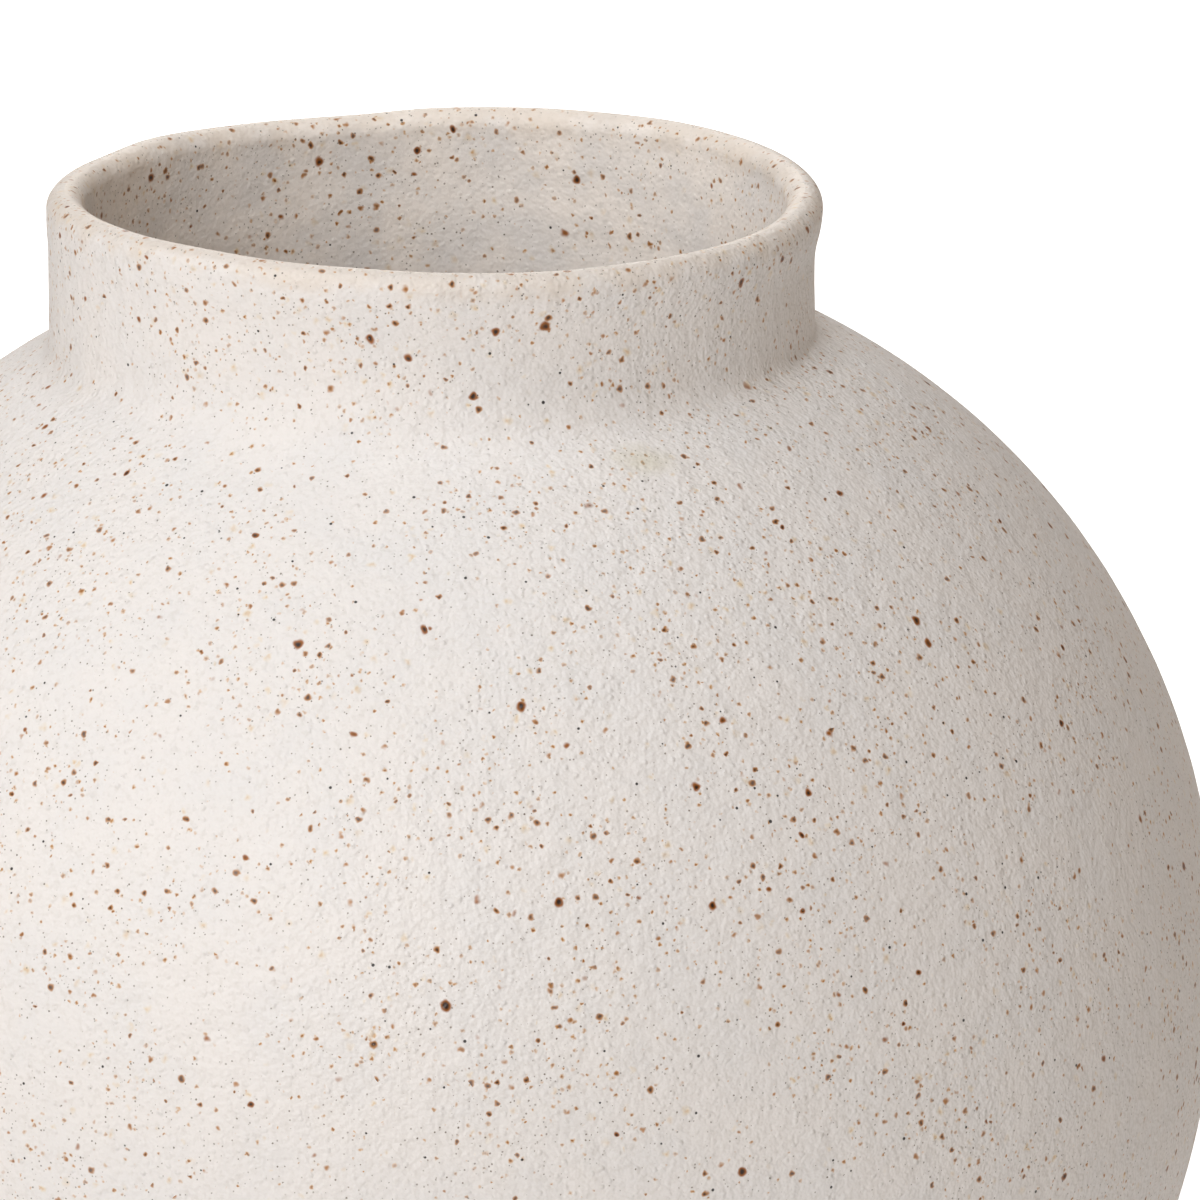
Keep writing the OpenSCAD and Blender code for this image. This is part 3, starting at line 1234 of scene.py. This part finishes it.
@dataclass(frozen=True)
class Collar(Thrown):
    """The thrown collar, and the coil worked into the corner under it."""

    clay: Material
    segments: int = field(default=240, kw_only=True)

    @staticmethod
    def bed(form: PotForm) -> tuple[Vector, Vector]:
        """The lower and upper ends of the coil's bed in the collar's bare side."""
        centre, radius = form.coil_centre, form.coil_radius
        side = form.collar_radius - form.glaze
        half = math.sqrt(radius**2 - (centre.x - side) ** 2)
        return Vector((side, centre.y - half)), Vector((side, centre.y + half))

    def neck_collar(self) -> Object:
        """Throws the collar."""
        form, glaze = self.form, self.form.glaze
        low, high = self.bed(form)
        seat = form.corner.y - form.seat_depth
        bore = form.bore_radius + glaze
        lip_outside = form.outside(form.lower_point(form.glaze_line, glaze), glaze)[-3:]
        lip_inside = form.inside(glaze)[:3]
        strokes = [
            *chain(Vector((bore, seat)), (None, lip_inside[-1].end, Texture.COLLAR)),
            *backwards(lip_inside, Texture.COLLAR),
            *backwards(lip_outside, Texture.COLLAR),
            *chain(
                lip_outside[0].start,
                (None, high, Texture.COLLAR),
                (form.coil_centre, low, Texture.COLLAR),
                *straight(Texture.COLLAR, (low.x, seat), (bore, seat)),
            ),
        ]
        return self.thrown(strokes, "thrown_collar", "neck_collar", Slot.CLAY, self.clay)

    def neck_coil(self) -> Object:
        """Rolls the coil into its bed."""
        form = self.form
        _, high = self.bed(form)
        radius = form.shoulder_arc - form.glaze
        turn, upper = form.turn_centre, form.upper_centre
        bed_out = meeting(upper, radius, form.coil_centre, form.coil_radius)
        strokes = chain(
            high,
            (None, Vector((high.x, turn.y)), Texture.CREASE),
            (turn, around(upper, radius, heading(upper, turn)), Texture.CREASE),
            (upper, bed_out, Texture.CREASE),
            (form.coil_centre, high, Texture.CREASE),
        )
        return self.thrown(strokes, "smeared_coil", "neck_coil", Slot.CLAY, self.clay)


@dataclass(frozen=True)
class Foot(Thrown):
    """The turned foot ring and its felt pads."""

    clay: Material
    felt: Material
    pad_wear: float = 0.12 * MM
    pad_bulge: float = 0.14 * MM
    pad_fuzz: float = 0.05 * MM
    pad_hair: float = 0.03 * MM

    def foot_ring(self) -> Object:
        """Turns the ring, with its tenon and its rounded edges."""
        form = self.form
        outer, inner = form.foot_radius, form.foot_radius - form.foot_width
        top, low, edge = form.foot_height, form.pad_height, form.foot_edge
        near, far = inner + form.foot_lean + edge, outer - form.foot_lean - edge
        middle = (outer + inner) / 2
        left, right = middle - form.tenon_width / 2, middle + form.tenon_width / 2
        high = top + form.tenon_height
        strokes = chain(
            Vector((inner, top)),
            (None, Vector((near - edge, low + edge)), Texture.CREASE),
            (Vector((near, low + edge)), Vector((near, low)), Texture.CREST),
            (None, Vector((far, low)), Texture.COLLAR),
            (Vector((far, low + edge)), Vector((far + edge, low + edge)), Texture.CREST),
            (None, Vector((outer, top)), Texture.CREASE),
            *straight(Texture.HIDDEN, (right, top), (right, high), (left, high), (left, top), (inner, top)),
        )
        return self.thrown(strokes, "turned_foot_ring", "foot_ring", Slot.CLAY, self.clay, self._chatter)

    def _chatter(self, mesh: Mesh) -> None:
        """Leaves the turning tool's fine grooves on the ring's sides."""
        pitch, depth = 1.3 * MM, 0.05 * MM
        middle = self.form.foot_radius - self.form.foot_width / 2
        for vert in mesh.verts:
            if vert.co.z < self.form.foot_height - 0.3 * MM:
                out = math.hypot(vert.co.x, vert.co.y)
                turn = math.atan2(vert.co.y, vert.co.x)
                groove = depth * math.sin(math.tau * vert.co.z / pitch + turn)
                groove += 2 * depth * noise.noise(vert.co / (5 * MM))
                widen(vert, -abs(groove) if out > middle else abs(groove))

    def felt_pads(self) -> list[Object]:
        """Cuts and presses the pads that the CAD frame has."""
        names = sorted(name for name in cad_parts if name.startswith("felt_pad_"))
        return [self._felt_pad(name, number) for number, name in enumerate(names)]

    def _felt_pad(self, name: str, number: int) -> Object:
        """Makes one pad.

        Args:
            name: The CAD node.
            number: Which pad it is, so that no two are alike.

        Returns:
            The pad.
        """
        low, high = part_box(name)
        centre, radius, height = (low + high) / 2, (high.x - low.x) / 2, high.z - low.z
        mesh = bmesh.new()
        bmesh.ops.create_circle(mesh, cap_ends=True, segments=56, radius=radius)
        disc = mesh.faces[:]
        raised = bmesh.ops.extrude_face_region(mesh, geom=disc)
        top = [part for part in raised["geom"] if isinstance(part, bmesh.types.BMVert)]
        bmesh.ops.translate(mesh, verts=top, vec=(0, 0, height))
        bmesh.ops.recalc_face_normals(mesh, faces=mesh.faces)
        for share in (0.1, 0.25, 0.35, 0.5):
            caps = [face for face in mesh.faces if abs(face.normal.z) > 0.5 and len(face.verts) > 4]
            bmesh.ops.inset_region(mesh, faces=caps, thickness=share * radius * 0.55)
        walls = [e for e in mesh.edges if abs(e.verts[0].co.z - e.verts[1].co.z) > height / 2]
        bmesh.ops.subdivide_edges(mesh, edges=walls, cuts=5, use_grid_fill=True)
        for vert in mesh.verts:
            out = math.hypot(vert.co.x, vert.co.y)
            worn = self.pad_wear * ease(out, radius * 0.75, radius)
            bulge = math.sin(math.pi * vert.co.z / height)
            vert.co.z += worn * max(-1.0, min(1.0, (height / 2 - vert.co.z) / (0.1 * MM)))
            if out > 0.9 * radius:
                fuzz = self.pad_fuzz * noise.noise(vert.co / (0.5 * MM) + Vector((number, 0, 0)))
                hair = self.pad_hair * noise.noise(vert.co / (0.11 * MM) + Vector((0, number, 0)))
                widen(vert, fuzz + self.pad_bulge * (bulge - 1) + hair)
        turn = Matrix.Translation((centre.x, centre.y, low.z))
        bmesh.ops.transform(mesh, matrix=turn, verts=mesh.verts)
        return finished(mesh, f"felt_{number + 1}", name, self.felt)


@dataclass(frozen=True)
class GlazeCoat(Thrown):
    """The outer glaze and the liner, which meet at the lip's crest."""

    segments: int = field(default=352, kw_only=True)

    def outer_glaze(self, material: Material) -> Object:
        """Dips the outside, from a rolled edge above the foot up to the crest."""
        form = self.form
        front = form.outside(form.lower_point(form.glaze_line, 0), 0)
        back = form.outside(form.lower_point(form.glaze_line, form.glaze), form.glaze)
        edge = (front[0].start + back[0].start) / 2
        roll = form.glaze / 2
        tip = edge - Vector((0, roll))
        strokes = [
            *front,
            Stroke(front[-1].end, back[-1].end, None, Texture.HIDDEN),
            *backwards(back, Texture.HIDDEN),
            *chain(back[0].start, (edge, tip, Texture.CREST), (edge, front[0].start, Texture.CREST)),
        ]
        return self.thrown(
            strokes, "dipped_outer_glaze", "outer_glaze", Slot.OUTER_GLAZE, material, self._gather
        )

    def _gather(self, mesh: Mesh) -> None:
        """Thickens the glaze to a rolled and uneven edge where it stopped."""
        form = self.form
        depth, reach, sag = 0.35 * MM, 3.5 * MM, 0.6 * MM
        for vert in mesh.verts:
            out = math.hypot(vert.co.x, vert.co.y)
            rise = vert.co.z - form.glaze_line
            if rise > reach or out < form.lower_point(vert.co.z, form.glaze * 0.75).x:
                continue
            run = 0.5 + noise.noise(Vector((vert.co.x, vert.co.y, 0)) / (9 * MM))
            bead = depth * run * ease(rise, reach, 0.4 * MM) * ease(rise, -form.glaze, 0.5 * MM)
            widen(vert, bead)
            vert.co.z -= sag * run * ease(rise, reach, 0.0)

    def liner_glaze(self, material: Material) -> Object:
        """Pours the inside, from the crest down to the floor."""
        form = self.form
        front, back = form.inside(0), form.inside(form.glaze)
        strokes = [
            *backwards(back, Texture.HIDDEN),
            Stroke(back[0].start, front[0].start, None, Texture.HIDDEN),
            *front,
        ]
        return self.thrown(strokes, "poured_liner_glaze", "liner_glaze", Slot.LINER_GLAZE, material)


# --------------------------------------------------------------------------------------------------
# Studio
# --------------------------------------------------------------------------------------------------


@dataclass(frozen=True)
class Studio:
    """A pale floor, a broad light from the left, and a long lens looking a little down."""

    form: PotForm
    elevation: float = 14.3
    distance: float = 2.0
    view_width: float = 155.8 * MM
    aim_right: float = 19.5 * MM
    aim_below_rim: float = 55 * MM
    sensor: float = 36.0
    room: Rgba = (0.25, 0.205, 0.165, 1.0)
    paper: Rgba = (0.93, 0.93, 0.93, 1.0)
    paper_radius: float = 6.0

    def camera(self) -> Object:
        """Sets up the camera."""
        data = bpy.data.cameras.new("camera")
        data.sensor_width = self.sensor
        data.lens = self.sensor * self.distance / self.view_width
        camera = bpy.data.objects.new("camera", data)
        bpy.context.scene.collection.objects.link(camera)
        tilt = math.radians(self.elevation)
        aim = Vector((self.aim_right, 0, self.form.rim_height - self.aim_below_rim))
        back = Vector((0, -math.cos(tilt), math.sin(tilt)))
        camera.location = aim + back * self.distance
        camera.rotation_euler = (-back).to_track_quat("-Z", "Y").to_euler()
        bpy.context.scene.camera = camera
        return camera

    def lamp(
        self,
        name: str,
        azimuth: float,
        elevation: float,
        size: float,
        power: float,
        colour: tuple[float, float, float] = (1.0, 1.0, 1.0),
    ) -> None:
        """Hangs a square softbox that faces the vase.

        Args:
            name: Its name.
            azimuth: Degrees round from the front, to the right.
            elevation: Degrees above level.
            size: Its side.
            power: Its watts.
            colour: Its colour.
        """
        away = 1.6
        data = bpy.data.lights.new(name, "AREA")
        data.shape = "SQUARE"
        data.size = size
        data.energy = power
        data.color = colour
        lamp = bpy.data.objects.new(name, data)
        bpy.context.scene.collection.objects.link(lamp)
        turn, tilt = math.radians(azimuth), math.radians(elevation)
        out = Vector((math.sin(turn) * math.cos(tilt), -math.cos(turn) * math.cos(tilt), math.sin(tilt)))
        lamp.location = Vector((0, 0, self.form.belly_height)) + out * away
        lamp.rotation_euler = (-out).to_track_quat("-Z", "Y").to_euler()

    def world(self) -> None:
        """Fills the room with a little even light, and shows the lens a white room."""
        world = bpy.data.worlds.new("room")
        world.use_nodes = True
        board = Board(world.node_tree)
        seen = board.node("ShaderNodeLightPath").outputs["Is Camera Ray"]
        background = world.node_tree.nodes["Background"]
        board.feed(background.inputs["Color"], board.over(self.room, (1.0, 1.0, 1.0, 1.0), seen))
        bpy.context.scene.world = world

    def floor(self) -> Object:
        """Lays a round pale floor, which the lens sees burn out to white a little way from the vase."""
        mesh = bmesh.new()
        bmesh.ops.create_circle(mesh, cap_ends=True, segments=96, radius=self.paper_radius)
        data = bpy.data.meshes.new("floor")
        mesh.to_mesh(data)
        mesh.free()
        material, board, shader = blank("pale_floor")
        shader.inputs["Base Color"].default_value = self.paper
        shader.inputs["Roughness"].default_value = 0.9
        shader.inputs["Emission Color"].default_value = (1.0, 1.0, 1.0, 1.0)
        away = board.vector("LENGTH", board.spot())
        seen = board.node("ShaderNodeLightPath").outputs["Is Camera Ray"]
        far = 2 * self.form.belly_radius
        glow = board.rise(away, 0.6 * far, 1.5 * far, 0.12, 0.85)
        board.feed(shader.inputs["Emission Strength"], board.times(seen, glow))
        data.materials.append(material)
        floor = bpy.data.objects.new("floor", data)
        bpy.context.scene.collection.objects.link(floor)
        return floor

    def set_up(self) -> None:
        """Sets up everything but the vase."""
        self.camera()
        self.world()
        self.floor()
        self.lamp("key", -21, 23, 0.75, 11.1)
        self.lamp("side", -80, 42, 0.75, 4.8)
        self.lamp("top", 0, 85, 0.75, 8.0, (0.86, 0.93, 1.0))
        self.lamp("right", 110, 30, 0.75, 0.7, (1.0, 0.7, 0.4))
        self.lamp("back", 180, 30, 0.75, 5.0)
        bpy.context.scene.view_settings.view_transform = "Standard"


def main() -> None:
    """Builds the vase from the foot up, and sets up the studio."""
    logging.basicConfig(level=logging.INFO, format="%(name)s: %(message)s")
    form = PotForm.from_frame()
    hand = Hand(form)
    clay = BareClay().material()
    felt = PressedFelt().material()
    mark = Vector((25 * MM, -50.5 * MM, form.rim_height - 24 * MM))
    outer = SpeckledGlaze(Slot.OUTER_GLAZE, mark_place=mark).material()
    # The liner is the same matt white glaze, but its white is set lighter than the outer glaze's as painted
    # light, standing in for the light that reaches inside the collar.
    liner = SpeckledGlaze(Slot.LINER_GLAZE, white=srgb(250, 243, 236), skin=0.07 * MM).material()

    foot = Foot(form, hand, clay, felt)
    foot.felt_pads()
    foot.foot_ring()
    globe = Globe(form, hand, clay)
    globe.lower_bowl()
    globe.upper_bowl()
    collar = Collar(form, hand, clay)
    collar.neck_collar()
    collar.neck_coil()
    coat = GlazeCoat(form, hand)
    coat.outer_glaze(outer)
    coat.liner_glaze(liner)

    Studio(form).set_up()


if __name__ == "__main__":
    main()
